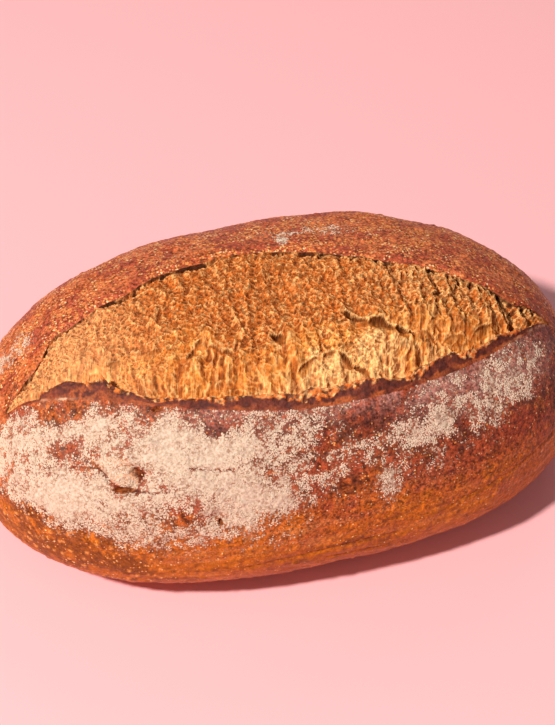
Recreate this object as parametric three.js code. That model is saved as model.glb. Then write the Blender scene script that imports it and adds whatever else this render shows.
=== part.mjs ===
// A whole sourdough loaf: an oval hearth loaf that was slashed once along its top. The front crust
// ends in a raised ear, the torn crumb swells behind it, and the back crust starts at a low edge.
// Millimetres. X runs along the loaf, Y from the ear side to the back, Z up from the flat base.
import * as THREE from "three";

// The plain body, before the slash
const LENGTH = 300;
const WIDTH = 194;
const HEIGHT = 118;
const WIDEST_AT = 42; // height of the widest line above the base
const KEEL_DROP = 5; // how far the round underside would reach below the base it is flattened on
const PLAN_POWER = 2.26; // 2 is an ellipse, and more is squarer
const CROWN_POWER = 2.3;
const UNDER_POWER = 3.2;
const UPPER_SECTION_POWER = 2.25;
const LOWER_SECTION_POWER = 2.5;
const LEAN = 3; // how far the right end lies towards the front

// The slash, a long lens between the ear's rim and the back edge. Each side is a bowed line.
const EAR = { peak: 6.4, y: -67, bow: 47, leftReach: 130, rightReach: 130, leftPower: 1.83, rightPower: 2.44 };
const BACK = { peak: -24, y: 31.7, bow: -49.5, leftReach: 117, rightReach: 143, leftPower: 2.13, rightPower: 1.45 };
const SLASH_LEAST_HALF = 1.5; // half the width that is left where the two sides have met
const FULL_GAP = 18; // gap between the sides from which the slash has its whole depth
const FULL_ROOM = 44; // walked gap from which its features have their whole width

// The ear: the crust lifts to the rim, and a dark band of cut skin stands on it, ragged and curled
const LIFT_WIDTH = 28;
const EAR_RISE = 5.5;
const RIM_SHARE = 0.72; // share of the rise that the crust has reached at its rim
const BAND_WIDTH = 4.2;
const BAND_RAGGED = 1.3;
const FLAPS = [
  { x: -97, reach: 17, wider: 3, higher: 1.8 },
  { x: -70, reach: 6, wider: -2, higher: -1.2 },
  { x: 2, reach: 22, wider: 2.6, higher: 0.4 },
  { x: 26, reach: 8, wider: 1.8, higher: 1 },
  { x: 64, reach: 10, wider: 3.5, higher: 0.8 },
  { x: 101, reach: 13, wider: 1, higher: 0.5 },
];
const GROOVE_DEPTH = 3.8;
const CRUMB_SINK = 0.8;
const BACK_STEP = 2.2;

// The torn crumb: a ragged ledge, tears, and strands that run from the ear to the back edge
const LEDGE = { from: 16, to: 98, y: -31, slope: -0.15, middle: 45, drop: 3.4, ragged: 4 };
const TEARS = [
  { x: -46, y: -28, long: 7, wide: 3, depth: 2.6 },
  { x: -34, y: -32, long: 6, wide: 2.5, depth: 2.2 },
  { x: -7, y: -29, long: 4, wide: 5, depth: 3 },
  { x: 24, y: -49, long: 8, wide: 2.5, depth: 3.2 },
  { x: 32, y: -26, long: 6, wide: 2.5, depth: 2.6 },
  { x: 56, y: -35, long: 4, wide: 2.5, depth: 2.4 },
  { x: 67, y: -41, long: 5, wide: 3, depth: 2.4 },
  { x: -80, y: -36, long: 5, wide: 3, depth: 2 },
  { x: 110, y: -26, long: 2.5, wide: 10, depth: 2.5 },
];
const STRAND = { wide: 6.5, long: 30, height: 1.6 };

// The crust's own unevenness
const LUMPS = [
  { size: 85, height: 1.3 },
  { size: 34, height: 0.9 },
  { size: 13, height: 0.35 },
];
// Blisters and pits, by x and by degrees round the section from the front's widest line
const BLISTERS = [
  { x: -95, girth: 41, reach: 12, height: 1.8 },
  { x: -84, girth: 33, reach: 5.5, height: -3.2 },
  { x: -52, girth: 17, reach: 4, height: -2 },
  { x: -64, girth: 31, reach: 15, height: 0.9 },
  { x: 22, girth: 21, reach: 16, height: 1 },
  { x: -38, girth: 117, reach: 7, height: -1.6 },
  { x: 60, girth: 128, reach: 15, height: 1.2 },
  { x: -75, girth: 140, reach: 12, height: -1.1 },
];

const RINGS = 118;
const SECTION_STEPS = 240;

const { lerp, clamp, smoothstep, radToDeg, degToRad } = THREE.MathUtils;
const bump = (distance) => Math.exp(-distance * distance);
const signedPower = (value, power) => Math.sign(value) * Math.abs(value) ** power;
const rounding = (share, power) => Math.max(0, 1 - Math.abs(share) ** power) ** (1 / power);

// A number from 0 to 1 that belongs to one corner of the noise's grid.
function cornerValue(i, j, k, seed) {
  let h = Math.imul(i, 374761393) ^ Math.imul(j, 668265263) ^ Math.imul(k, 1442695041);
  h ^= Math.imul(seed, 1013904223);
  h = Math.imul(h ^ (h >>> 13), 1274126177);
  h = Math.imul(h ^ (h >>> 15), 747796405);
  return ((h ^ (h >>> 16)) >>> 0) / 4294967295;
}

// Smooth gradient noise, about -1 to 1. The seed says which noise it is.
function noise(seed, ...place) {
  const cell = place.map(Math.floor);
  const inside = place.map((value, n) => value - cell[n]);
  const ease = inside.map((t) => t * t * t * (t * (t * 6 - 15) + 10));
  let sum = 0;
  for (let corner = 0; corner < 8; corner++) {
    const step = [corner & 1, (corner >> 1) & 1, corner >> 2];
    const [i, j, k] = cell.map((c, n) => c + step[n]);
    const turn = 2 * Math.PI * cornerValue(i, j, k, seed);
    const up = 2 * cornerValue(i, j, k, seed + 71) - 1;
    const flat = Math.sqrt(1 - up * up);
    const away = inside.map((t, n) => t - step[n]);
    const slope = away[0] * flat * Math.cos(turn) + away[1] * flat * Math.sin(turn) + away[2] * up;
    const weight = ease.reduce((w, t, n) => w * (step[n] ? t : 1 - t), 1);
    sum += slope * weight;
  }
  return 1.6 * sum;
}

// Where one bowed side of the slash lies across the loaf at x.
function sideAt(side, x) {
  const left = x < side.peak;
  const out = Math.abs(x - side.peak) / (left ? side.leftReach : side.rightReach);
  return side.y + side.bow * out ** (left ? side.leftPower : side.rightPower);
}

// Both sides of the slash at x, and how deep it is there: 1 in the middle, 0 past its ends.
function slashAt(x) {
  const [ear, back] = [sideAt(EAR, x), sideAt(BACK, x)];
  const middle = (ear + back) / 2;
  const half = Math.max(SLASH_LEAST_HALF, (back - ear) / 2);
  return { ear: middle - half, back: middle + half, open: smoothstep(back - ear, 0, FULL_GAP) };
}

// The plain section at a share s of the half length, as points from under the middle, out to the
// front, over the top and down the back, with the distance walked to each.
function plainSection(s) {
  const half = (WIDTH / 2) * rounding(s, PLAN_POWER);
  const crown = (HEIGHT - WIDEST_AT) * rounding(s, CROWN_POWER);
  const under = (WIDEST_AT + KEEL_DROP) * rounding(s, UNDER_POWER);
  const lean = -LEAN * smoothstep(s, 0.2, 1);
  const points = [];
  let walked = 0;
  let flat = 0;
  for (let k = 0; k <= SECTION_STEPS; k++) {
    const turn = (2 * Math.PI * k) / SECTION_STEPS;
    const down = Math.cos(turn);
    const power = 2 / (down > 0 ? LOWER_SECTION_POWER : UPPER_SECTION_POWER);
    const y = lean - half * signedPower(Math.sin(turn), power);
    const z = Math.max(0, WIDEST_AT - (down > 0 ? under : crown) * signedPower(down, power));
    const last = points[points.length - 1];
    if (last) walked += Math.hypot(y - last.y, z - last.z);
    if (z === 0 && y <= lean && k < SECTION_STEPS / 2) flat = walked;
    points.push({ y, z, turn, walked });
  }
  return { points, half, lean, flat, length: walked };
}

// The point at a distance walked round a section, with its outward direction across the section.
function walk(section, distance) {
  const { points } = section;
  let low = 0;
  let high = points.length - 1;
  while (high - low > 1) {
    const middle = (low + high) >> 1;
    if (points[middle].walked <= distance) low = middle;
    else high = middle;
  }
  const [a, b] = [points[low], points[high]];
  const share = (distance - a.walked) / Math.max(1e-9, b.walked - a.walked);
  const along = Math.hypot(b.y - a.y, b.z - a.z) || 1;
  return {
    y: lerp(a.y, b.y, share),
    z: lerp(a.z, b.z, share),
    girth: radToDeg(lerp(a.turn, b.turn, share)) - 90,
    outY: -(b.z - a.z) / along,
    outZ: (b.y - a.y) / along,
  };
}

// The distance walked round a section to the point of its upper side that lies at y.
function walkedTo(section, y) {
  const share = clamp((y - section.lean) / section.half, -0.93, 0.93);
  const turn = Math.PI + Math.sign(share) * Math.asin(Math.abs(share) ** (UPPER_SECTION_POWER / 2));
  const step = (turn / (2 * Math.PI)) * SECTION_STEPS;
  const low = Math.floor(step);
  return lerp(section.points[low].walked, section.points[low + 1].walked, step - low);
}

const middleLength = plainSection(0).length;

// The knots of the real section at x: how far round the plain one each lies, how high off it, and
// how many columns of the mesh lead to the next knot. An eased stretch leaves its knots level.
function knots(section, x) {
  const slash = slashAt(x);
  const [ear, back] = [walkedTo(section, slash.ear), walkedTo(section, slash.back)];
  const room = clamp((back - ear) / FULL_ROOM, 0.1, 1);
  const flapped = (key) => FLAPS.reduce((sum, flap) => sum + flap[key] * bump((x - flap.x) / flap.reach), 0);
  const ragged = BAND_RAGGED * noise(5, x / 9, 3.7, 0.4) + 0.5 * noise(6, x / 4, 1.3, 2.2);
  const band = room * (BAND_WIDTH + flapped("wider") + ragged);
  const rise = slash.open * (EAR_RISE + flapped("higher") + 1.1 * noise(7, x / 30, 5.1, 7.7));
  const groove = slash.open * GROOVE_DEPTH * (1 + 0.4 * noise(8, x / 16, 2.4, 9.3));
  const step = slash.open * BACK_STEP * (1 + 0.5 * noise(9, x / 14, 6.6, 1.2));
  const sink = slash.open * CRUMB_SINK;
  const tip = ear + band;
  const floor = tip + 3 * room;
  const small = Math.min(1, section.length / middleLength / 0.6);
  return [
    { at: 0, off: 0, columns: 2 },
    { at: Math.max(section.flat, 0.1 * ear), off: 0, columns: 9 },
    { at: ear - small * LIFT_WIDTH, off: 0, columns: 4, rising: true },
    { at: ear, off: RIM_SHARE * rise, columns: 2 },
    { at: tip, off: rise, columns: 1 },
    { at: tip + 0.7 * room, off: 0.8 * rise, columns: 1 },
    { at: tip - 1.2 * room, off: 0.25 * rise, columns: 1 },
    { at: tip - 0.4 * room, off: -0.6 * groove, columns: 1 },
    { at: floor, off: -groove, columns: 3, eased: true },
    { at: lerp(floor, back, 0.3), off: -sink, columns: 6, eased: true },
    { at: back - 8 * room, off: -sink, columns: 3, eased: true },
    { at: back - 1.6 * room, off: -step, columns: 1 },
    { at: back - 0.4 * room, off: -0.2 * step, columns: 1 },
    { at: back + 2 * room, off: 0.9 * slash.open, columns: 3, eased: true },
    { at: back + small * 20, off: 0, columns: 10 },
    { at: Math.min(section.length - section.flat, section.length - 0.1 * ear), off: 0, columns: 2 },
    { at: section.length, off: 0, columns: 0 },
  ];
}
const TIP_KNOT = 7;
const BACK_KNOT = 12;

// How far relief lifts the crust: its lumps, blisters and pits.
function crustRelief({ x, y, z, base }) {
  const lumps = LUMPS.reduce((sum, lump, n) => {
    return sum + lump.height * noise(20 + n, x / lump.size, y / lump.size, z / lump.size);
  }, 0);
  const blisters = BLISTERS.reduce((sum, blister) => {
    const round = (degToRad(base.girth - blister.girth) * WIDTH) / 2;
    return sum + blister.height * bump(Math.hypot(x - blister.x, round) / blister.reach);
  }, 0);
  return { lumps, blisters };
}

// How far relief lifts the crumb: its ledge, tears and strands.
function crumbRelief({ x, y }) {
  const shown = smoothstep(x, LEDGE.from, LEDGE.from + 25) * smoothstep(-x, -LEDGE.to, 20 - LEDGE.to);
  const ragged = LEDGE.ragged * noise(31, x / 20, 8.2, 0) + 0.4 * LEDGE.ragged * noise(32, x / 7, 1.9, 0);
  const ledgeY = LEDGE.y + LEDGE.slope * (x - LEDGE.middle) + ragged;
  const ledge = shown * LEDGE.drop * (smoothstep(y, ledgeY - 1.5, ledgeY + 1.5) - 0.5);
  const tears = TEARS.reduce((sum, tear) => {
    return sum - tear.depth * bump(Math.hypot((x - tear.x) / tear.long, (y - tear.y) / tear.wide));
  }, 0);
  const strands = STRAND.height * (0.6 - 1.6 * Math.abs(noise(33, x / STRAND.wide, y / STRAND.long, 0.5)));
  return ledge + tears + strands;
}

// How far relief lifts the surface at a point.
function relief(point) {
  const { lumps, blisters } = crustRelief(point);
  const crumb = point.open * smoothstep(point.across, 0, 0.08) * smoothstep(1 - point.across, 0, 0.06);
  return lumps + (1 - crumb) * blisters + crumb * crumbRelief(point);
}

// The stations along the loaf, spread evenly over the way from one tip over the body to the other.
function stations(count) {
  const fine = 4000;
  const walked = [0];
  for (let k = 1; k <= fine; k++) {
    const [a, b] = [k - 1, k].map((n) => (2 * n) / fine - 1);
    const outward = (WIDTH / 2) * (rounding(b, PLAN_POWER) - rounding(a, PLAN_POWER));
    walked.push(walked[k - 1] + Math.hypot(((b - a) * LENGTH) / 2, outward));
  }
  const found = [];
  let at = 0;
  for (let n = 1; n <= count; n++) {
    const wanted = (walked[fine] * n) / (count + 1);
    while (walked[at + 1] < wanted) at++;
    const share = (wanted - walked[at]) / (walked[at + 1] - walked[at]);
    found.push((2 * (at + share)) / fine - 1);
  }
  return found;
}

// One ring of points round the loaf, before relief.
function ring(s) {
  const x = (s * LENGTH) / 2;
  const section = plainSection(s);
  const marks = knots(section, x);
  const [tip, back] = [marks[TIP_KNOT].at, marks[BACK_KNOT].at];
  const { open } = slashAt(x);
  const points = [];
  marks.slice(0, -1).forEach((mark, n) => {
    const next = marks[n + 1];
    for (let c = 0; c < mark.columns; c++) {
      const share = c / mark.columns;
      const at = lerp(mark.at, next.at, share);
      const bent = mark.eased ? smoothstep(share, 0, 1) : mark.rising ? share * share : share;
      const off = lerp(mark.off, next.off, bent);
      const base = walk(section, at);
      const across = n < TIP_KNOT ? 0 : clamp((at - tip) / (back - tip), 0, 1);
      const [y, z] = [base.y + off * base.outY, base.z + off * base.outZ];
      points.push({ x, y, z, base, across, open });
    }
  });
  return points;
}

// Lifts each point of the rings off the plain body by its relief. The base stays flat.
function withRelief(rings) {
  const plain = ({ x, base }) => new THREE.Vector3(x, base.y, base.z);
  return rings.map((points, i) =>
    points.map((point, j) => {
      const { base } = point;
      if (base.z <= 0) return new THREE.Vector3(point.x, base.y, 0);
      const [before, after] = [rings[Math.max(0, i - 1)][j], rings[Math.min(rings.length - 1, i + 1)][j]];
      const along = plain(after).sub(plain(before));
      const round = new THREE.Vector3(0, base.outZ, -base.outY);
      const outward = along.cross(round).normalize();
      const place = new THREE.Vector3(point.x, point.y, point.z);
      place.addScaledVector(outward, relief(point) * smoothstep(point.z, 0, 12));
      place.z = Math.max(0, place.z);
      return place;
    }),
  );
}

function loafGeometry() {
  const rings = withRelief(stations(RINGS).map(ring));
  const columns = rings[0].length;
  const places = [new THREE.Vector3(-LENGTH / 2, 0, WIDEST_AT), ...rings.flat()];
  places.push(new THREE.Vector3(LENGTH / 2, -LEAN, WIDEST_AT));
  const last = places.length - 1;
  const index = [];
  const id = (i, j) => 1 + i * columns + (j % columns);
  for (let j = 0; j < columns; j++) {
    index.push(0, id(0, j), id(0, j + 1));
    for (let i = 0; i + 1 < rings.length; i++) {
      index.push(id(i, j), id(i + 1, j), id(i + 1, j + 1));
      index.push(id(i, j), id(i + 1, j + 1), id(i, j + 1));
    }
    index.push(last, id(rings.length - 1, j + 1), id(rings.length - 1, j));
  }
  const geometry = new THREE.BufferGeometry().setFromPoints(places).setIndex(index);
  geometry.computeBoundingBox();
  const middle = geometry.boundingBox.getCenter(new THREE.Vector3());
  geometry.translate(-middle.x, -middle.y, 0);
  geometry.computeVertexNormals();
  return geometry;
}

const crust = new THREE.MeshStandardMaterial({ color: 0x9a5526, roughness: 0.8, metalness: 0 });
const loaf = new THREE.Mesh(loafGeometry(), crust);
loaf.name = "loaf";

const model = new THREE.Group();
model.add(loaf);

export default model;
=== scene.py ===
# A whole sourdough loaf on a plain pale floor: a floured front crust that ends in a raised, ragged
# ear, the torn golden crumb behind it, and a speckled back crust. The form is the solid's own, made
# again from the same named values with finer steps and the fine relief on it.
# Lengths are in millimetres until a mesh is made, in the part's frame: X along the loaf, Y from the
# ear side to the back, Z up. Girth is the angle round the section, in degrees from the widest line
# of the front, over the top to the back.
import math
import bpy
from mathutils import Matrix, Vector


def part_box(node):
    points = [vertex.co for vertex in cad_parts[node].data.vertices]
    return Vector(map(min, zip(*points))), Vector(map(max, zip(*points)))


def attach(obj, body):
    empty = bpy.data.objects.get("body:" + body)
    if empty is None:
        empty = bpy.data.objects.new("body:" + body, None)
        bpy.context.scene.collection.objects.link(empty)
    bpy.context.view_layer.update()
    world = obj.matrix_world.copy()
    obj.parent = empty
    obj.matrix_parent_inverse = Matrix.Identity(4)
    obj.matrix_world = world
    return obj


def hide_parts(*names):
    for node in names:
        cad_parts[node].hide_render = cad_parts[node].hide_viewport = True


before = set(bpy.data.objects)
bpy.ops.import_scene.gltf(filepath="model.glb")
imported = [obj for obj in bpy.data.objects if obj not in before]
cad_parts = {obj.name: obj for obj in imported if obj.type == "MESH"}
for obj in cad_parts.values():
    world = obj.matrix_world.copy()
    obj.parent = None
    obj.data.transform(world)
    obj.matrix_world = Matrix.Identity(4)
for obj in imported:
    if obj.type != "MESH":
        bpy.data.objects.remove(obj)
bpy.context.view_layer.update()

from types import SimpleNamespace

import bpy
import numpy as np
from mathutils import Matrix

MM = 0.001
LOW, HIGH = (np.array(corner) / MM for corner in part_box("loaf"))

# The plain body, before the slash
PROUD = (0.975, 0.739, -0.351)  # how far the solid's box reaches out of the plain body's
LENGTH, WIDTH, HEIGHT = HIGH - LOW - PROUD
WIDEST_AT = 42  # height of the widest line
KEEL_DROP = 5  # how far the underside would reach below the base that flattens it
PLAN_POWER = 2.26  # 2 is an ellipse, and more is squarer
CROWN_POWER = 2.3
UNDER_POWER = 3.2
UPPER_SECTION_POWER = 2.25
LOWER_SECTION_POWER = 2.5
LEAN = 3  # how far the right end lies towards the front
SIDE_LIMIT = 0.93  # share of the half width that the slash keeps within

# The slash's two sides, each a bowed line
EAR = SimpleNamespace(peak=6.4, y=-67, bow=47, reach=(130, 130), power=(1.83, 2.44))
BACK = SimpleNamespace(peak=-24, y=31.7, bow=-49.5, reach=(117, 143), power=(2.13, 1.45))
FULL_GAP = 18  # gap between the sides from which the slash has its whole depth
FULL_ROOM = 44  # walked gap from which its features have their whole width
LEAST_GAP = 1.5  # walked gap from which the slash is open at all

# The ear and the groove
LIFT_WIDTH = 28
EAR_RISE = 5.5
RIM_SHARE = 0.72  # share of the rise that the crust has reached at its rim
BAND_WIDTH = 4.2
BAND_RAGGED = 1.3
BAND_START = -118  # the dark skin starts abruptly here
FLAPS = [  # x, reach, wider, higher
    (-101, 19, 4.2, 2), (-90, 2, 3, 1.5), (-70, 6, -2, -1.2), (-26, 18, 1.4, 0.5),
    (2, 22, 2.6, 0.4), (26, 8, 1.8, 1), (64, 10, 3.5, 0.8), (101, 13, 1, 0.5),
]
CURLS = [  # x, reach, amount: where the torn top of the ear curls and crumbles
    (-86, 5, 0.9), (-66, 8, 0.7), (-42, 8, 0.5), (0, 19, 1), (50, 5, 1), (78, 5, 1), (104, 9, 0.7),
]
GROOVE_DEPTH = 3.8
GROOVE_WIDTH = 3
CRUMB_SINK = 0.8
BACK_STEP = 1.8
SHOULDER = 20  # from the back edge to where the crust is plain again
BACK_WAVES = [  # x, reach, how far the torn edge of the back crust lies back of its bow
    (-129, 8, -5), (-118, 4, -3), (-105, 6, 4), (-70, 13, -3), (-31, 14, -1.5), (8, 30, 2),
]
CREVICE = [  # x, how deep the crevice along the back edge is there
    (-135, 0.5), (-112, 1), (-30, 1), (-20, 0.6), (-12, 0.1), (2, 0.1), (8, 0.6), (60, 0.7),
    (68, 0.35), (98, 0.4), (106, 1), (134, 1),
]

# The torn crumb
LEDGE = SimpleNamespace(start=16, end=98, y=-31, slope=-0.15, middle=45, drop=3.4, ragged=4)
TEARS = [  # x, y, long, wide, depth
    (-46, -28, 7, 3, 2.6), (-34, -32, 6, 2.5, 2.2), (-7, -29, 4, 5, 3), (24, -49, 8, 2.5, 3.2),
    (32, -26, 6, 2.5, 2.6), (56, -35, 4, 2.5, 2.4), (67, -41, 5, 3, 2.4), (-80, -36, 5, 3, 2),
    (110, -26, 2.5, 10, 2.5),
]
STRAND = SimpleNamespace(wide=6.5, long=30, height=1.6)
STRAND_SLANT = 0.278  # how far strands lean along the loaf for each millimetre across it

# Ragged edges where a flake of crumb ends over a lower, paler one, with small caves under them: the
# cusps x, y from left to right, between which the edge arches up, how deep the caves are, and how far
# the flake's own rise reaches back
CRAGS = [
    ([(25, -24), (36, -31), (48, -35), (54.5, -36.5), (59, -38)], 3.2, 8),
    ([(59, -38), (69, -43), (84, -41), (98, -35)], 0.9, 8),
    ([(-5, -51), (10, -44), (18, -44)], 1.1, 7),
    ([(17, -43), (24, -49), (30.6, -54.5)], 2.4, 7),
    ([(-40, -27), (-34, -31), (-28, -35)], 1.3, 6),
    ([(-52, -32), (-46, -26), (-40, -23)], 1.7, 7),
    ([(-11, -29), (-3, -30)], 2.8, 4),
    ([(-3, -18), (4, -19)], 0.8, 4),
    ([(1, 14), (13, 11)], 0.9, 4),
    ([(-70, -24), (-60, -23)], 1, 4),
    ([(-88, -22), (-77, -22)], 0.9, 4),
    ([(70, -20), (78, -19), (86, -22)], 1.8, 5),
]
SMALL_CRAGS = 80

# Deep clefts at the right end of the crumb: points x, y, half width, depth
CLEFTS = [
    ([(107, -13), (108.5, -22), (109.2, -30), (109.7, -37)], 0.8, 2.6),
    ([(122, -10), (126.6, -15), (130.6, -16.4), (134.6, -18)], 0.9, 2.4),
    ([(104, -18), (105, -27), (106, -33)], 0.5, 1.4),
]
LOBES = [(113, 4.5, 4.5), (60, 5, 1.5), (84, 4, 1.2)]  # x, reach, how far the back crust hangs over

# Cracks and creases in the crust: points x, girth, half width, depth, and darkness of painted shade
CRACKS = [
    ([(-112.7, 42.3), (-108.7, 41.4), (-104.2, 41.2), (-100.7, 41.2)], 0.4, 0.4, 0.8),
    ([(-100.7, 41.2), (-97.5, 38.5), (-96.3, 34.5), (-93.8, 32.5), (-90.8, 31.5), (-85.8, 30)],
     0.65, 0.9, 1),
    ([(-85.8, 30), (-80, 29), (-73, 29)], 0.4, 0.4, 0.8),
    ([(-88.6, 40.8), (-86.6, 40.4), (-83.4, 39.2), (-80.8, 37.4), (-83, 35.2), (-84.8, 33.6)],
     0.35, 0.4, 1),
    ([(-102.7, 27.4), (-100.2, 24.9), (-95.8, 23.5)], 0.4, 0.4, 0.8),
    ([(-61, 37), (-52, 35), (-42, 34)], 0.45, 0.4, 1),
    ([(-103, 24), (-97, 20)], 0.3, 0.3, 0.6),
    ([(-42, -6), (-20, -4), (0, -2), (18, -2), (34, -3)], 0.6, 0.5, 0.6),
    ([(-2, -9), (29, -11)], 0.6, 0.5, 0.5),
    ([(60, 2), (90, 5), (122, 9)], 0.8, 0.5, 0.25),
]
HOLES = [  # x, girth, half length, half height, depth
    (-91, 30.9, 4.2, 1.9, 2.4), (-84.3, 37.2, 3.2, 3.8, 1.1), (-51, 14.8, 1, 1.9, 2),
    (-69.5, 58, 2.3, 1.1, 1.6), (-37, 119, 2.2, 1.5, 1.6), (-34, 118, 0.8, 1.4, 1.2),
]
# A peeled flake of skin: corners x, girth
FLAKE = [(-99, 42), (-97, 44.4), (-93.5, 44.8), (-90, 43.6), (-86.6, 41.6), (-84.9, 38.5), (-84.6, 35),
         (-86, 31.8), (-91, 32.6), (-94.5, 35), (-97, 38)]
FLAKE_LIFT = 0.25

# The crust's unevenness
LUMPS = [(85, 1.3), (34, 0.9), (13, 0.35)]  # size, height
BLISTERS = [  # x, girth, reach, height
    (-95, 41, 14, 0.8), (-84, 33, 5.5, -3.2), (-52, 17, 4, -2), (-64, 31, 15, 0.9), (22, 21, 16, 1),
    (-38, 117, 7, -1.6), (60, 128, 15, 1.2), (-75, 140, 12, -1.1),
]

# Where flour lies on the crust: x, girth, reach along, reach round in degrees, amount
FLOUR = [
    (-110, 57, 24, 4, 0.3), (-129, 46, 15, 14, 0.72), (-125, 26, 15, 10, 1.05),
    (-116, 34, 11, 10, 0.55), (-104, 21, 20, 7, 0.6), (-100, 52, 10, 8, 0.35),
    (-72, 46, 20, 9, 1.1), (-52, 38, 22, 12, 1.1), (-40, 20, 21, 10, 1), (-80, 26, 14, 8, 0.5),
    (-84, 14, 26, 6, 0.4), (-14, 42, 22, 10, 0.4), (-8, 27, 20, 8, 0.5), (0, 50, 14, 4, 0.2),
    (60, 42, 20, 9, 0.34), (90, 45, 24, 9, 0.32), (45, 34, 32, 7, 0.34), (29, 19, 6, 6, 0.65),
    (114, 52, 14, 9, 0.16), (30, 50, 60, 5, 0.12), (95, 56, 32, 6, 0.12), (75, 36, 50, 10, 0.14),
    (40, 22, 80, 9, 0.14), (25, 43, 10, 5, -0.25), (-114, 45, 10, 7, -0.22),
    (-112, 63, 20, 7, 0.35), (-130, 62, 10, 12, 0.4), (-106, 31, 10, 8, 0.35),
    (-98, 40, 10, 7, 0.3), (-99, 34, 13, 8, 0.45), (-104, 56, 18, 6, 0.4), (-62, 9, 46, 8, 0.24),
    (-66, 18, 9, 4, -0.5), (-47, 49, 9, 3, -0.35), (13, 108.5, 3.5, 2.5, 1.0),
    (30, 113, 24, 5, 0.3), (-128, 108, 16, 10, 0.35),
]
# Where only its finest dust lies, as a mauve haze on the crust, partly painted shade: the same values
DUST_HAZE_AND_SHADE = [
    (22, 52, 28, 6, 0.75), (62, 50, 26, 8, 0.5), (100, 54, 26, 11, 0.7), (84, 44, 34, 8, 0.4),
    (-30, 53, 30, 4, 0.5),
]

# Colours, as sRGB values from 0 to 255
CRUST_RED = (138, 59, 33)
CRUST_ORANGE = (184, 98, 14)
CRUST_MAROON = (70, 26, 20)
CRUST_BACK = (160, 72, 46)
CRUST_AMBER = (200, 106, 62)
BLISTER_ORANGE = (232, 150, 78)
SPECKLE_ORANGE = (244, 160, 84)
SPECKLE_PALE = (250, 206, 150)
FLOUR_WHITE = (220, 197, 174)
FLOUR_SHADE = (160, 122, 96)
FLOUR_THIN = (170, 108, 84)
FLOUR_HAZE = (190, 148, 120)
# Mauve of the finest dust, partly painted shade under the ear's rim
MAUVE_DUST_AND_SHADE = (170, 118, 106)
FLAKE_CREAM = (226, 182, 144)
HOLE_BROWN = (120, 58, 20)
CRUMB_PALE = (242, 184, 118)
CRUMB_GOLD = (218, 134, 56)
CRUMB_TOAST = (172, 85, 26)
CRUMB_PEACH = (250, 186, 128)
# Painted shade for the crumb's hollows, pits, caves and crevices, and a pale edge colour that is partly
# painted highlight
CRUMB_PAINTED_SHADE = (112, 52, 24)
HOLLOW_PAINTED_SHADE = (84, 36, 10)
CAVE_PAINTED_SHADE = (140, 78, 30)
CREVICE_PAINTED_SHADE = (66, 32, 14)
MEMBRANE_AND_HIGHLIGHT = (255, 214, 144)
LIP_DARK = (78, 28, 16)
LIP_RIM = (172, 84, 36)
LIP_ORANGE = (216, 112, 40)
FLOOR_PINK = (252, 186, 189)

# The mesh's fineness
RINGS = 800
SECTION_STEPS = 1440
PLAN_STEPS = 8001
GRAINS = 12000
GRAIN_HALF = (0.22, 0.7)  # half widths of loose flour grains

SLASHED = ("ear_lip", "torn_crumb", "toasted_crumb")
PIECES = ("front_crust", "front_foot", *SLASHED, "back_crust", "back_foot", "underside")
CORE_HEIGHT = 0.8 * WIDEST_AT  # where the pieces' inner walls meet


def linear(colour):
    """The linear RGB of an sRGB colour given from 0 to 255."""
    share = np.array(colour) / 255
    return np.where(share <= 0.04045, share / 12.92, ((share + 0.055) / 1.055) ** 2.4)


def smoothstep(value, low, high):
    share = np.clip((value - low) / (high - low), 0, 1)
    return share * share * (3 - 2 * share)


def bump(distance):
    return np.exp(-distance * distance)


def signed_power(value, power):
    return np.sign(value) * np.abs(value) ** power


def rounding(share, power):
    return np.clip(1 - np.abs(share) ** power, 0, None) ** (1 / power)


def unit(vectors):
    length = np.linalg.norm(vectors, axis=-1, keepdims=True)
    return vectors / np.maximum(length, 1e-12)


def mix(first, second, share):
    return first + (second - first) * np.clip(share, 0, 1)[..., None]


def painted(tone, *coats):
    """A tone under coats of colour, each with its share and, if need be, its greatest share."""
    for colour, share, *most in coats:
        tone = mix(tone, linear(colour), np.clip(share, 0, *most) if most else share)
    return tone


def corner_value(cells, seed):
    """A number from 0 to 1 that belongs to a corner of the shared noise's grid, as in the solid."""
    u = np.uint32
    i, j, k = cells
    h = (i * u(374761393)) ^ (j * u(668265263)) ^ (k * u(1442695041))
    h = h ^ u(seed * 1013904223 & 0xFFFFFFFF)
    h = (h ^ (h >> u(13))) * u(1274126177)
    h = (h ^ (h >> u(15))) * u(747796405)
    return (h ^ (h >> u(16))) / 4294967295


def noise(seed, *place):
    """The solid's own smooth noise, about -1 to 1."""
    place = np.broadcast_arrays(*(np.asarray(p, float) for p in place))
    cell = [np.floor(p) for p in place]
    inside = [p - c for p, c in zip(place, cell)]
    ease = [t * t * t * (t * (t * 6 - 15) + 10) for t in inside]
    total = 0
    for corner in range(8):
        step = [corner & 1, corner >> 1 & 1, corner >> 2]
        cells = [((c + s).astype(np.int64) & 0xFFFFFFFF).astype(np.uint32) for c, s in zip(cell, step)]
        turn = 2 * np.pi * corner_value(cells, seed)
        up = 2 * corner_value(cells, seed + 71) - 1
        flat = np.sqrt(1 - up * up)
        away = [t - s for t, s in zip(inside, step)]
        slope = away[0] * flat * np.cos(turn) + away[1] * flat * np.sin(turn) + away[2] * up
        for t, s in zip(ease, step):
            slope *= t if s else 1 - t
        total += slope
    return 1.6 * total


GRAIN_CELLS = 48
GRAIN_TABLE = np.random.default_rng(11).random((GRAIN_CELLS,) * 3).astype(np.float32)


def turned(*angles):
    """A rotation by three angles, so that the grain's grid lies across the loaf."""
    matrix = np.eye(3)
    for axis, angle in enumerate(angles):
        a, b = [n for n in range(3) if n != axis]
        turn = np.eye(3)
        turn[a, a] = turn[b, b] = math.cos(angle)
        turn[a, b] = -math.sin(angle)
        turn[b, a] = math.sin(angle)
        matrix = matrix @ turn
    return matrix


TURNED = turned(0.7, 0.4, 1.1)


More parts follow.
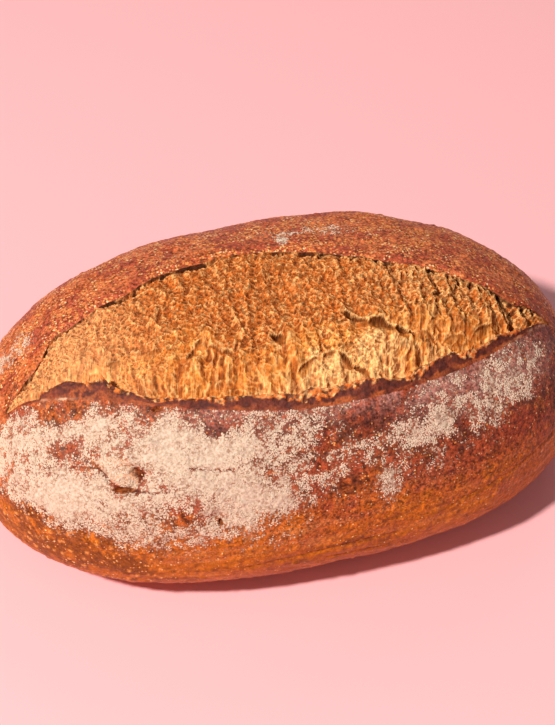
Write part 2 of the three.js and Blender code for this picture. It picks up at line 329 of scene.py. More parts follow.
def grain(place, size, seed):
    """Fast smooth noise of about -1 to 1 with bumps of the given size."""
    place = place @ TURNED / size + seed * 17.31
    cell = np.floor(place).astype(np.int32)
    share = (place - cell).astype(np.float32)
    share = share * share * (3 - 2 * share)
    sides = [(cell % GRAIN_CELLS), ((cell + 1) % GRAIN_CELLS)]
    total = 0
    for corner in range(8):
        step = (corner & 1, corner >> 1 & 1, corner >> 2)
        value = GRAIN_TABLE[tuple(sides[s][..., n] for n, s in enumerate(step))]
        for n, s in enumerate(step):
            value *= share[..., n] if s else 1 - share[..., n]
        total += value
    return 3 * (total - 0.5)


def cells(place, seed):
    """How far off the two nearest of points scattered one to a unit are, and the nearest's own number."""
    place = place + seed * 5.77
    cell = np.floor(place).astype(np.int32)
    inside = (place - cell).astype(np.float32)
    first = np.full(inside.shape[:-1], 9, np.float32)
    second = first.copy()
    own = np.zeros_like(first)
    for step in np.ndindex(3, 3, 3):
        step = np.array(step) - 1
        i, j, k = np.moveaxis((cell + step) % GRAIN_CELLS, -1, 0)
        point = [GRAIN_TABLE[i, j, k], GRAIN_TABLE[j, k, i], GRAIN_TABLE[k, i, j]]
        away = sum((inside[..., n] - step[n] - point[n]) ** 2 for n in range(3))
        nearer = away < first
        second = np.where(nearer, first, np.minimum(second, away))
        first = np.where(nearer, away, first)
        own = np.where(nearer, GRAIN_TABLE[k, j, i], own)
    return np.sqrt(first), np.sqrt(second), own


def dots(place, size, radius, share, seed):
    """Scattered round dots: 1 in each dot's middle, 0 outside, for a share of the cells."""
    away, _, own = cells(place @ TURNED / size, seed)
    return smoothstep(radius / size - away, 0, 0.7 * radius / size) * (own < share)


def mixed_grain(place, *parts):
    """Grain of several sizes: each part has its amount, its size and its seed."""
    return sum(much * grain(place, size, seed) for much, size, seed in parts)


def fibres(lane, along, wide, long, seed):
    """Smooth noise that is drawn out along strands of a given width and length."""
    flat = np.full(lane.shape, 0.37 * seed)
    return grain(np.stack([lane / wide, along / long, flat], -1), 1, seed)


def smoothed(values, reach):
    """Values of the grid, averaged over a square of neighbours."""
    count = 2 * reach + 1
    for axis in (0, 1):
        wide = [(reach, reach) if n == axis else (0, 0) for n in range(2)]
        padded = np.pad(values, wide, mode="edge")
        own = np.arange(values.shape[axis])
        values = sum(np.take(padded, own + step, axis) for step in range(count)) / count
    return values


def summed_bumps(features, x, column):
    return sum(feature[column] * bump((x - feature[0]) / feature[1]) for feature in features)


def summed_spots(spots, x, v):
    """Soft spots on a map of x and v: each has its middle, its reach along both and its amount."""
    return sum(much * bump(np.hypot((x - at) / reach, (v - over) / wide))
               for at, over, reach, wide, much in spots)


def side_at(side, x):
    left = x < side.peak
    out = np.abs(x - side.peak) / np.where(left, *side.reach)
    return side.y + side.bow * out ** np.where(left, *side.power)


def plain_sections(s):
    """The plain section at each share s of the half length, walked from below by way of the front."""
    s = s[:, None]
    half = WIDTH / 2 * rounding(s, PLAN_POWER)
    crown = (HEIGHT - WIDEST_AT) * rounding(s, CROWN_POWER)
    under = (WIDEST_AT + KEEL_DROP) * rounding(s, UNDER_POWER)
    lean = -LEAN * smoothstep(s, 0.2, 1)
    turn = np.linspace(0, 2 * np.pi, SECTION_STEPS + 1)[None]
    down = np.cos(turn)
    power = 2 / np.where(down > 0, LOWER_SECTION_POWER, UPPER_SECTION_POWER)
    y = lean - half * signed_power(np.sin(turn), power)
    z = np.clip(WIDEST_AT - np.where(down > 0, under, crown) * signed_power(down, power), 0, None)
    steps = np.hypot(np.diff(y), np.diff(z))
    walked = np.concatenate([np.zeros_like(half), np.cumsum(steps, axis=1)], axis=1)
    resting = (z == 0) & (y <= lean) & (turn < np.pi)
    flat = np.max(np.where(resting, walked, 0), axis=1)
    return SimpleNamespace(y=y, z=z, turn=turn, walked=walked, length=walked[:, -1], flat=flat,
                           half=half[:, 0], lean=lean[:, 0])


def walked_to(sections, y):
    """The distance walked round each section to the point of its upper side that lies at y."""
    share = np.clip((y - sections.lean) / sections.half, -SIDE_LIMIT, SIDE_LIMIT)
    turn = np.pi + np.sign(share) * np.arcsin(np.abs(share) ** (UPPER_SECTION_POWER / 2))
    step = turn / (2 * np.pi) * SECTION_STEPS
    low = np.floor(step).astype(int)
    rows = np.arange(len(low))
    first, second = sections.walked[rows, low], sections.walked[rows, low + 1]
    return first + (second - first) * (step - low)


def crevice_at(x):
    return np.interp(x, *zip(*CREVICE))


def lay_knots(sections, x):
    """The knots of the real section, as in the solid, with the finer steps and the pieces they start."""
    gap = side_at(BACK, x) - side_at(EAR, x)
    slash_open = smoothstep(gap, 0, FULL_GAP)
    middle = (side_at(BACK, x) + side_at(EAR, x)) / 2
    half = np.maximum(0, gap / 2)
    ear, back = walked_to(sections, middle - half), walked_to(sections, middle + half)
    inside = back - ear > LEAST_GAP
    merged = (ear + back) / 2
    ear, back = np.where(inside, ear, merged), np.where(inside, back, merged)
    room = np.clip((back - ear) / FULL_ROOM, 0, 1)
    back = back + room * summed_bumps(BACK_WAVES, x, 2)
    jag = 0.9 * noise(11, x / 9, 4.1, 2.7) + 0.5 * noise(12, x / 2.2, 1.1, 7.9)
    back_edge = back + room * (0.9 * jag - 1.2) - summed_bumps(LOBES, x, 2)
    curl = np.clip(summed_bumps(CURLS, x, 2), 0, 1)
    ragged = BAND_RAGGED * noise(5, x / 9, 3.7, 0.4) + 0.5 * noise(6, x / 4, 1.3, 2.2)
    ragged = ragged + (0.15 + curl) * (noise(13, x / 2.6, 5.2, 3.3) + 0.5 * noise(15, x / 1.3, 2.9, 6.1))
    band = room * (BAND_WIDTH + summed_bumps(FLAPS, x, 2) + ragged)
    band = band * (0.06 + 0.94 * smoothstep(x, BAND_START - 0.6, BAND_START + 0.6))
    rise = slash_open * (EAR_RISE + summed_bumps(FLAPS, x, 3) + 1.1 * noise(7, x / 30, 5.1, 7.7))
    groove = slash_open * GROOVE_DEPTH * (1 + 0.4 * noise(8, x / 16, 2.4, 9.3))
    step = slash_open * BACK_STEP * (1 + 0.5 * noise(9, x / 14, 6.6, 1.2)) * (0.25 + 0.6 * crevice_at(x))
    sink = slash_open * CRUMB_SINK
    tip = ear + band
    bottom = tip + GROOVE_WIDTH * room
    small = np.minimum(1, sections.length / sections.length.max() / 0.6)
    foot = np.maximum(sections.flat, 0.1 * ear)
    lift = ear - small * LIFT_WIDTH
    crest = back + 2 * np.maximum(room, 0.25)
    shoulder = back + small * SHOULDER
    far_foot = np.minimum(sections.length - sections.flat, sections.length - 0.1 * ear)
    none = np.zeros_like(x)
    rows = [  # where, how high off the plain body, steps to the next, piece, how the height changes
        (none, none, 8, "underside"),
        (foot, none, 50, "front_foot"),
        (foot + 0.5 * (lift - foot), none, 62, "front_crust"),
        (lift, none, 46, "front_crust", "rising"),
        (ear, RIM_SHARE * rise, 18, "ear_lip"),
        (tip, rise, 4, "ear_lip"),
        (tip + 0.7 * room, 0.8 * rise, 4, "ear_lip"),
        (tip - 1.2 * room, 0.25 * rise, 4, "ear_lip"),
        (tip - 0.4 * room, -0.6 * groove, 7, "ear_lip"),
        (bottom, -groove, 58, "torn_crumb", "eased"),
        (bottom + 0.3 * (back - bottom), -sink, 40, "torn_crumb"),
        (bottom + 0.5 * (back - bottom), -sink, 94, "toasted_crumb"),
        (back - 8 * room, -sink, 18, "toasted_crumb", "eased"),
        (back_edge - 0.8 * room, -step, 6, "toasted_crumb"),
        (back_edge, -0.2 * step, 7, "back_crust"),
        (crest, 0.9 * slash_open, 32, "back_crust", "eased"),
        (shoulder, none, 64, "back_crust"),
        (shoulder + 0.5 * (far_foot - shoulder), none, 38, "back_foot"),
        (far_foot, none, 8, "underside"),
        (sections.length, none, 0, "underside"),
    ]
    return rows, inside, slash_open, ear, tip, back_edge


def stations(count):
    """Shares of the half length, spread evenly over the way from one tip over the body to the other."""
    fine = np.linspace(-1, 1, PLAN_STEPS)
    steps = np.hypot(np.diff(fine) * LENGTH / 2, np.diff(rounding(fine, PLAN_POWER)) * WIDTH / 2)
    walked = np.concatenate([[0], np.cumsum(steps)])
    wanted = walked[-1] * np.arange(1, count + 1) / (count + 1)
    return np.interp(wanted, walked, fine)


def round_distance(girth, about):
    """Millimetres round the section between two girths."""
    return np.radians(girth - about) * WIDTH / 2


def crust_relief(x, y, z, girth):
    lumps, blisters = 0, 0
    for n, (size, height) in enumerate(LUMPS):
        lumps = lumps + height * noise(20 + n, x / size, y / size, z / size)
    for at, about, reach, height in BLISTERS:
        blisters = blisters + height * bump(np.hypot(x - at, round_distance(girth, about)) / reach)
    return lumps, blisters


def crumb_relief(x, y):
    shown = smoothstep(x, LEDGE.start, LEDGE.start + 25) * smoothstep(-x, -LEDGE.end, 20 - LEDGE.end)
    ragged = LEDGE.ragged * noise(31, x / 20, 8.2, 0) + 0.4 * LEDGE.ragged * noise(32, x / 7, 1.9, 0)
    line = LEDGE.y + LEDGE.slope * (x - LEDGE.middle) + ragged
    ledge = shown * LEDGE.drop * (smoothstep(y, line - 1.5, line + 1.5) - 0.5)
    strands = STRAND.height * (0.6 - 1.6 * np.abs(noise(33, x / STRAND.wide, y / STRAND.long, 0.5)))
    return ledge - summed_spots(TEARS, x, y) + strands


def build_surface():
    """The whole surface as a grid of rings and columns, with what the painting needs at each point."""
    s = stations(RINGS)
    x = s * LENGTH / 2
    sections = plain_sections(s)
    rows, inside, slash_open, ear, tip, back_edge = lay_knots(sections, x)
    at, off, pieces = [], [], []
    for (start, height, steps, piece, *way), following in zip(rows, rows[1:]):
        share = np.arange(steps) / steps
        bent = share**2 if "rising" in way else smoothstep(share, 0, 1) if "eased" in way else share
        at.append(start[:, None] + (following[0] - start)[:, None] * share)
        off.append(height[:, None] + (following[1] - height)[:, None] * bent)
        pieces += [piece] * steps
    at, off = np.concatenate(at, axis=1), np.concatenate(off, axis=1)

    def at_columns(values):
        """Values along the walk round each plain section, taken where the columns are."""
        return np.array([np.interp(*ring) for ring in zip(at, sections.walked, values)])

    slopes = -np.gradient(sections.z, axis=1), np.gradient(sections.y, axis=1)
    wide_x, flat = np.broadcast_to(x[:, None], at.shape), np.zeros_like(at)
    plain = np.stack([wide_x, at_columns(sections.y), at_columns(sections.z)], -1)
    outward = unit(np.stack([flat, *map(at_columns, slopes)], -1))
    around = np.stack([flat, outward[..., 2], -outward[..., 1]], -1)
    across = (at - tip[:, None]) / np.maximum(back_edge - tip, 1)[:, None]
    return SimpleNamespace(
        place=plain + off[..., None] * outward,
        plain=plain,
        normal=unit(np.cross(np.gradient(plain, axis=0), around)),
        girth=np.degrees(at_columns(np.broadcast_to(sections.turn, sections.y.shape))) - 90,
        across=np.where(inside[:, None], across, 0),
        past_ear=at - ear[:, None],
        past_tip=at - tip[:, None],
        band=(tip - ear)[:, None],
        before_back=back_edge[:, None] - at,
        slash_open=np.broadcast_to(slash_open[:, None], at.shape),
        inside=inside,
        pieces=pieces,
    )


def stretch(surface, columns):
    """The part of the surface in some columns."""
    grids = {key: value for key, value in vars(surface).items() if key not in ("inside", "pieces")}
    taken = {key: value if value.shape[1] == 1 else value[:, columns] for key, value in grids.items()}
    return SimpleNamespace(**taken)


def line_distance(x, v, points):
    """Distance from a crooked line through points, on a flat map of x and v."""
    nearest = np.full(x.shape, 1e9)
    for (x0, v0), (x1, v1) in zip(points, points[1:]):
        dx, dv = x1 - x0, v1 - v0
        share = np.clip(((x - x0) * dx + (v - v0) * dv) / (dx * dx + dv * dv), 0, 1)
        nearest = np.minimum(nearest, np.hypot(x - x0 - share * dx, v - v0 - share * dv))
    return nearest


def inside_corners(x, v, corners):
    """1 inside a convex shape of corners, given clockwise, and 0 outside, on a flat map of x and v."""
    inside = np.ones(x.shape)
    for (x0, v0), (x1, v1) in zip(corners, corners[1:] + corners[:1]):
        dx, dv = x1 - x0, v1 - v0
        inside *= smoothstep(((v1 - v) * dx - (x1 - x) * dv) / math.hypot(dx, dv), -0.7, 0)
    return inside


def small_crags():
    """Many small edges like the named ones, strewn over the crumb."""
    draw = np.random.default_rng(5)
    found = []
    for _ in range(SMALL_CRAGS):
        left, middle, long = draw.uniform(-110, 105), draw.uniform(-45, 18), draw.uniform(2.5, 7)
        tilt = draw.uniform(-0.7, 0.5)
        points = [(left, middle), (left + long, middle + tilt * long)]
        found.append((points, draw.uniform(0.3, 0.8), draw.uniform(2, 5)))
    return found


def crags(x, y):
    """Relief of the crumb's edges, and its painted shade in, painted highlight above and paleness below
    the caves.
    """
    relief, cave, rim, below = (np.zeros(x.shape) for _ in range(4))
    for n, (points, depth, reach) in enumerate(CRAGS + small_crags()):
        xs, ys = zip(*points)
        near = (x > xs[0] - 2) & (x < xs[-1] + 2) & (y > min(ys) - 25) & (y < max(ys) + 4 * reach)
        px, py = x[near], y[near]
        fade = min(3, (xs[-1] - xs[0]) / 3)
        shown = smoothstep(px, xs[0] - 0.5, xs[0] + fade)
        shown *= smoothstep(-px, -xs[-1] - 0.5, fade - xs[-1])
        cusp = np.interp(px, xs, ys)
        count = np.interp(px, xs, range(len(xs)))
        span = np.diff(xs)[np.minimum(count.astype(int), len(xs) - 2)]
        arch = 1 - np.abs(2 * (count % 1) - 1) ** 2.5
        rough = 0.5 * noise(36, px / 2.6, n, 0.8) + 0.3 * noise(35, px / 1.1, n, 0.2)
        top = cusp + np.minimum(0.3 * span, 3) * arch + min(1.2, 0.3 + depth / 2) * rough
        foot = cusp - depth * (0.7 + 0.8 * arch + 0.4 * noise(34, px / 5, n, 0.6))
        share = (py - foot) / (top - foot)
        inside = (share > 0) & (share < 1)
        deep = shown * depth * (0.25 + 0.75 * arch)
        profile = np.clip(share, 0, 1) ** 1.5 * smoothstep(1 - share, -0.04, 0.16)
        rise = 0.15 * shown * depth * np.exp(-np.maximum(py - top, 0) / reach)
        relief[near] += np.where(inside, -deep * profile, np.where(share >= 1, rise, 0))
        # Painted shade in each cave, and a painted highlight on the thin pale edge above it
        strength = np.clip(deep / 1.8, 0, 1)
        cave[near] = np.maximum(cave[near], np.where(inside, strength * np.clip(share, 0, 1) ** 1.3, 0))
        rim[near] = np.maximum(rim[near], strength * (0.5 + rough) * bump((py - top - 0.4) / 0.35))
        lower = strength * (share <= 0) * np.exp(np.minimum(py - foot, 0) / 9)
        below[near] = np.maximum(below[near], lower)
    return relief, cave, rim, below


def cleft_share(x, y):
    """How deep each point lies in the clefts at the right end, and how much painted shade it gets there.
    """
    deep, dark = np.zeros(x.shape), np.zeros(x.shape)
    for points, wide, depth in CLEFTS:
        away = line_distance(x + 0.5 * noise(38, y / 3, 0.4, 0.9), y, points)
        deep = np.maximum(deep, depth * bump(away / (1.5 * wide)))
        dark = np.maximum(dark, bump(away / wide))
    return deep, dark


def carve_crumb(surface):
    """Fine relief of the torn crumb: soft strands by the ear, rough toasted grains towards the back; and
    where it gets painted shade and highlight.
    """
    place, across = surface.place, surface.across
    x, y = place[..., 0], place[..., 1]
    along = surface.past_tip
    lane = x - STRAND_SLANT * y + 1.8 * grain(place, 14, 51) + 0.8 * grain(place, 5, 57)
    lower = smoothstep(0.5 - across + 0.2 * grain(place, 18, 58) + 0.1 * grain(place, 6, 50), 0, 0.35)
    cellular = smoothstep(x, 30, 60) * smoothstep(across, 0.3, 0.5) + 0.12
    wide = fibres(lane, along, 4.4, 16, 52)
    middle = fibres(lane, along, 2.0, 9, 53)
    curl = bump(fibres(lane, along, 1.9, 3, 59) / 0.28) - 0.4
    fine_curl = bump(grain(place, 1.5, 54) / 0.3) - 0.4
    clumps = mixed_grain(place, (0.5, 4.2, 48), (0.5, 8, 60))
    pore = np.stack([lane / 3, along / 5, np.full(x.shape, 0.4)], -1)
    near, second, own = cells(pore, 56)
    wall = bump((second - near) / 0.16)
    holes = smoothstep(0.5 - near, 0, 0.4) * (own < 0.6)
    edge = surface.before_back
    edge_pores = bump((edge - 3.4) / 2.4) * smoothstep(x, 2, 10)
    edge_pores = edge_pores * smoothstep(0.55 - near, 0, 0.3) * (own < 0.75)
    beads = np.clip(0.5 + 1.3 * grain(place, 2.2, 66), 0, 1.4)
    crevice = crevice_at(x) * beads * bump((edge - 0.8 - 0.8 * grain(place, 3, 67)) / 0.7)
    crag, cave, rim, below = crags(x, y)
    deep, cleft = cleft_share(x, y)
    folds = bump((grain(place, 8, 62) + 0.2 * middle) / 0.22) - 0.3
    strands = (1 - 0.35 * smoothstep(x, 30, 60)) * wide + 0.5 * middle
    strands = strands + 0.4 * curl + 0.4 * clumps + 0.3 * folds
    toasted = 0.35 * middle + 0.6 * curl + 0.4 * fine_curl + 1.2 * clumps
    toasted = toasted + (0.25 + 0.55 * smoothstep(-x, 0, 50)) * folds
    relief = lower * strands + (1 - 0.7 * lower) * toasted + cellular * (0.4 * wall - 0.5 * holes)
    relief = relief * (1 - np.clip(2 * cave, 0, 0.85)) + crag - 2.2 * edge_pores - 1.3 * crevice - deep
    # Painted shade in the pores, the crevice along the back edge and the clefts
    dark = np.clip(0.3 * cellular * holes + edge_pores + 1.2 * crevice, 0, 1) + cleft
    # Painted highlight on the raised cell walls
    rim = np.clip(rim + 0.25 * cellular * wall, 0, 1)
    # Painted shade on the cut wall below the back crust's edge
    wall = np.clip(0.25 + 0.35 * crevice_at(x) + 0.6 * grain(place, 3, 68), 0, 1)
    wall *= smoothstep(1 - edge, 0, 0.5)
    coarse = np.clip(1.05 - 0.65 * lower - 0.3 * below, 0.2, 1) * (1 - np.clip(2 * cave, 0, 0.9))
    look = {"dark": dark, "cave": cave, "rim": rim, "below": below, "wall": wall}
    return relief, SimpleNamespace(crevice=crevice, coarse=coarse, **look)


def paint_crumb(surface, look, bulge, swell):
    """The crumb's colour: pale by the ear and below the crags, toasted and grainy towards the back, with
    painted shade in hollows and painted highlight on bumps.
    """
    place, x = surface.place, surface.place[..., 0]
    clouds = mixed_grain(place, (0.2, 17, 81), (0.14, 6, 82))
    toasted = surface.across + clouds - 0.4 * look.below + 0.14 * smoothstep(-x, -10, 40)
    toasted = toasted + 0.17 * smoothstep(x, 50, 95) + 0.35 * smoothstep(9 - surface.before_back, 0, 9)
    fleck = mixed_grain(place, (0.5, 1.5, 83), (0.5, 0.9, 84))
    tone = painted(
        linear(CRUMB_PALE),
        (CRUMB_GOLD, smoothstep(toasted, -0.1, 0.22)),
        (CRUMB_TOAST, 0.9 * smoothstep(toasted, 0.15, 0.6)),
        # Darker in the relief's hollows and paler on its bumps: painted shade and painted highlight
        (CRUMB_TOAST, -0.7 * swell, 0.6),
        (CRUMB_PALE, 0.3 * swell, 0.25),
        (CRUMB_TOAST, 0.15 + 0.7 * fleck - 0.4 * bulge, 0.6),
        (CRUMB_PALE, 0.3 * bulge - 0.4 * fleck, 0.5),
        (CRUMB_PAINTED_SHADE, -0.6 * bulge - 0.2, 0.7),
        (CRUMB_PEACH, 0.3 * smoothstep(-x, 50, 105)),
        # Painted highlight on the crag edges, and painted shade in the caves, pits and crevices
        (MEMBRANE_AND_HIGHLIGHT, 0.7 * look.rim),
        (CAVE_PAINTED_SHADE, 1.3 * look.cave, 0.9),
        (HOLLOW_PAINTED_SHADE, 1.8 * look.cave - 1.1, 0.7),
        (HOLLOW_PAINTED_SHADE, look.dark, 0.9),
        (CREVICE_PAINTED_SHADE, look.wall + 0.6 * look.crevice, 0.9),
    )
    return np.concatenate([tone, look.coarse[..., None]], -1)


def paint_lip(surface):
    """The ear's band: orange-brown at the rim, then dark skin, then a torn orange edge."""
    place, x, past_ear = surface.place, surface.place[..., 0], surface.past_ear
    curl = np.clip(summed_bumps(CURLS, x, 2), 0, 1)
    wander = mixed_grain(place, (0.5, 3, 91), (0.5, 1.3, 92))
    share = past_ear / np.maximum(surface.band, 0.5)
    flap = bump((x + 99) / 19)
    rim = smoothstep(0.34 - share + 0.14 * wander, 0, 0.15) * (1 - flap)
    pale = 0.8 * bump((x + 110) / 8) + 0.5 * smoothstep(x, 92, 105)
    pale = np.clip(pale * (0.7 + 0.9 * grain(place, 2.5, 88)), 0, 0.9)
    torn = smoothstep(share + 0.25 * wander, 0.9 - 0.55 * curl, 1.02 - 0.55 * curl)
    skin = painted(
        linear(LIP_DARK),
        (CRUST_RED, 0.3 + 0.5 * wander),
        (LIP_RIM, rim * np.clip(0.5 + 0.8 * grain(place, 5, 90), 0, 0.9)),
        (LIP_RIM, flap * np.clip(0.6 - 1.1 * share + 0.9 * grain(place, 1.3, 87), 0, 0.7)),
        (FLAKE_CREAM, pale * bump((past_ear - 0.4) / 0.5)),
    )
    shred = painted(
        linear(LIP_ORANGE),
        (CRUMB_PALE, 0.2 + 0.9 * grain(place, 1.2, 94)),
        (LIP_DARK, -1.8 * grain(place, 1.4, 93), 0.9),
    )
    return painted(mix(skin, shred, torn), (CRUMB_GOLD, smoothstep(surface.past_tip, 1.5, 3))), torn


def flour_amount(x, girth, place):
    """How thickly flour lies, from 0 to about 1, with soft clouds in it."""
    amount = summed_spots(FLOUR, x, girth)
    clouds = mixed_grain(place, (0.2, 11, 61), (0.18, 5, 62), (0.1, 2.4, 63))
    clouds = clouds * (1 - 0.6 * smoothstep(amount, 0.7, 1.1))
    return 0.92 * np.clip(amount, 0, 1.2) + clouds * np.clip(amount * 2.5, 0, 1)


def carve_and_paint_crust(surface):
    """The crust's fine relief, its colour with the share of specks in it, and how thickly flour lies."""
    place, girth, x = surface.place, surface.girth, surface.place[..., 0]
    broad, middle = grain(place, 24, 71), grain(place, 7, 72)
    small, tiny = grain(place, 2.6, 73), grain(place, 1.2, 74)
    streaks = 0.6 * noise(75, x / 40, girth / 3, 0.3) + 0.5 * noise(76, x / 16, girth / 1.1, 0.7)
    streaks = streaks * smoothstep(girth, -85, -50) * smoothstep(250 - girth, 0, 30)
    at_tip = smoothstep(np.abs(x), 100, 146)
    past_top = (girth - 81 + at_tip * (26 * broad + 16 * middle)) / (1 + 4 * at_tip)
    back = smoothstep(past_top, -9, 9) * smoothstep(240 - girth, 0, 45)
    low = np.maximum(smoothstep(26 - girth, 0, 24), smoothstep(girth, 165, 195))
    warm = 0.85 * low + 0.25 * smoothstep(-x, 60, 105) + 0.3 * back * smoothstep(x, 20, 90)
    warm = warm + 0.25 * broad + 0.3 * middle + (1 - low) * 0.2 * small + 0.8 * streaks * low
    left_end = (1.5 + 0.7 * middle) * smoothstep(-x, 55, 110) * smoothstep(148 + x, 0, 14)
    left_end *= bump((girth + 3) / 21)
    right_end = 0.5 * smoothstep(x, 80, 130) * bump((girth - 30) / 25)
    # Painted shade on the crust just under the ear's rim, where it curls up and turns from the light
    painted_shade_under_ear = surface.slash_open * bump((surface.past_ear + 10) / 14) * 0.7 * (1 - back)
    painted_shade_under_ear *= smoothstep(x, -80, -50)
    blotches = (0.75 * small + 0.55 * middle + 0.45 * tiny) * (1 - 0.2 * back)
    calm = low * np.clip(1 - left_end, 0, 1)
    dark = left_end + 0.2 * right_end + painted_shade_under_ear + (1 - 0.55 * calm) * blotches
    dark = dark + 0.9 * low * streaks - 0.05
    # A mauve haze of fine dust under the ear's rim: partly the dust's own colour and partly painted shade
    dust_and_shade = summed_spots(DUST_HAZE_AND_SHADE, x, girth) * (0.9 + 0.5 * middle + 0.4 * tiny)
    blister = dots(place, 4.2, 1.6, 0.6, 77) * np.clip(1.2 * left_end + 0.25 * low + right_end, 0, 1)
    patches = mixed_grain(place, (0.8, 9, 78), (0.6, 4, 79))
    specks = np.clip((0.06 + 0.42 * back + 0.1 * left_end) * (1 + 1.3 * patches), 0, 1)
    specks = specks * (1 - 0.7 * calm) * (1 - bump(surface.past_ear / 3))
    wander = 0.5 * grain(place, 3, 45)
    flake = inside_corners(x, girth + 1.5 * wander, FLAKE)
    specks *= 1 - flake
    amount = flour_amount(x, girth, place) * (1 - 0.5 * flake) + 0.35 * flake
    relief = mixed_grain(place, (0.16, 3.4, 41), (0.14, 1.7, 42)) + 0.35 * blister
    relief = relief + 0.5 * dots(place, 9, 2.6, 0.5, 43) - 0.5 * dots(place, 12, 1.4, 0.4, 44)
    relief = relief + 0.3 * streaks * low + flake * FLAKE_LIFT
    coats = [
        (CRUST_BACK, back),
        (CRUST_ORANGE, warm),
        (CRUST_MAROON, np.clip(dark, 0, 0.85) * (1 - 0.3 * low)),
        (BLISTER_ORANGE, -0.6 * streaks * calm, 0.45),
        (CRUST_AMBER, back * np.clip(0.9 * middle + 0.8 * small + 0.15, 0, 0.8)),
        (MAUVE_DUST_AND_SHADE, dust_and_shade, 0.8),
        (BLISTER_ORANGE, 0.85 * blister),
        (FLAKE_CREAM, 0.9 * flake),
    ]

    # Each crack's dark line is painted shade in it; the flour thins along it too
    for points, wide, depth, darkness in CRACKS:
        flat = [(at, round_distance(about, 0)) for at, about in points]
        away = line_distance(x, round_distance(girth, 0) + 0.6 * wander, flat)
        line = bump(away / (2 * wide))
        relief -= depth * line
        amount -= 0.6 * darkness * line
        coats.append((CRUST_MAROON, darkness * bump(away / wide)))
    for at, about, long, high, depth in HOLES:
        away = np.hypot((x - at) / long, round_distance(girth, about) / high) + 0.25 * wander
        hole = smoothstep(1.2 - away, 0, 0.5)
        relief -= depth * hole
        amount -= 1.5 * hole
        specks *= 1 - hole
        coats.append((HOLE_BROWN, hole * min(1, 0.3 + depth / 3)))
    grainy = 0.12 + 0.14 * grain(place, 1.5, 46) + 0.12 * grain(place, 2.8, 47)
    relief += np.clip(amount, 0, 1) * grainy
    relief *= smoothstep(np.abs(surface.past_ear), 0, 2)
    relief *= smoothstep(np.abs(surface.before_back), 0, 1.5)
    tone = painted(linear(CRUST_RED), *coats)
    return relief, np.concatenate([tone, specks[..., None]], -1), np.clip(amount, 0, 1.3)


def carve_and_paint(surface):
    """Adds the relief to the surface, and gives each of its points a colour and a cover of flour."""
    place, plain, girth = surface.place, surface.plain, surface.girth
    x, y, z = np.moveaxis(place, -1, 0)
    pieces = np.array(surface.pieces)
    lumps, blisters = crust_relief(x, y, z, girth)
    crumb = surface.slash_open * smoothstep(surface.across, 0, 0.08)
    crumb *= smoothstep(1 - surface.across, 0, 0.06)
    relief = lumps + (1 - crumb) * blisters
    tone = np.zeros((*girth.shape, 4))
    flour = np.zeros(girth.shape)

    crust = np.flatnonzero(~np.isin(pieces, SLASHED))
    fine, tone[:, crust], flour[:, crust] = carve_and_paint_crust(stretch(surface, crust))
    relief[:, crust] += fine

    torn = np.flatnonzero(np.isin(pieces, ("torn_crumb", "toasted_crumb")))
    part = stretch(surface, torn)
    fine, look = carve_crumb(part)
    whole = crumb_relief(x[:, torn], y[:, torn])
    bulge = np.clip((fine - smoothed(fine, 3)) / 0.35, -1.5, 1.5)
    swell = np.clip((fine - smoothed(fine, 9)) / 1.1, -1, 1)
    tone[:, torn] = paint_crumb(part, look, bulge, swell)
    inner = part.slash_open * smoothstep(part.past_tip, 1.5, 5)
    inner *= smoothstep(np.abs(part.before_back), 0, 0.8)
    relief[:, torn] += crumb[:, torn] * whole + inner * fine

    lip = np.flatnonzero(pieces == "ear_lip")
    part = stretch(surface, lip)
    tone[:, lip, :3], shreds = paint_lip(part)
    crumbly = mixed_grain(part.place, (0.7, 1.4, 93), (0.5, 3, 96))
    rough = 0.2 * grain(part.place, 1.8, 95) + shreds * crumbly
    inner = smoothstep(part.past_ear, 0, 1) * smoothstep(2.6 - part.past_tip, 0, 1.5)
    relief[:, lip] += rough * part.slash_open * inner

    relief *= smoothstep(plain[..., 2], 0, 12)
    place = place + relief[..., None] * surface.normal
    place[..., 2] = np.where(plain[..., 2] <= 0, 0, np.maximum(place[..., 2], 0))
    surface.place, surface.tone, surface.flour = place, tone, flour


def centre_surface(surface):
    """Moves the surface so that its box is centred where the solid's box is."""
    flat = surface.place.reshape(-1, 3)
    shift = (LOW + HIGH) / 2 - (flat.min(axis=0) + flat.max(axis=0)) / 2
    shift[2] = 0
    surface.place = surface.place + shift
    return shift


def shade_normals(surface):
    """The surface's own normals, the same on both sides of each border between pieces."""
    place = surface.place
    along = np.gradient(place, axis=0)
    around = np.roll(place, -1, axis=1) - np.roll(place, 1, axis=1)
    normals = unit(np.cross(along, around))
    lip = surface.pieces.index("ear_lip")
    back = surface.pieces.index("back_crust")
    shut = ~surface.inside
    joined = unit(normals[shut, lip] + normals[shut, back])
    normals[shut, lip] = joined
    normals[shut, back] = joined
    return normals


def faces_of(*corners):
    """Faces from the point numbers of their first corners, of their second corners, and so on."""
    corners = np.stack(np.broadcast_arrays(*corners), -1)
    return corners.reshape(-1, corners.shape[-1])


def new_object(name, data):
    thing = bpy.data.objects.new(name, data)
    bpy.context.collection.objects.link(thing)
    return thing


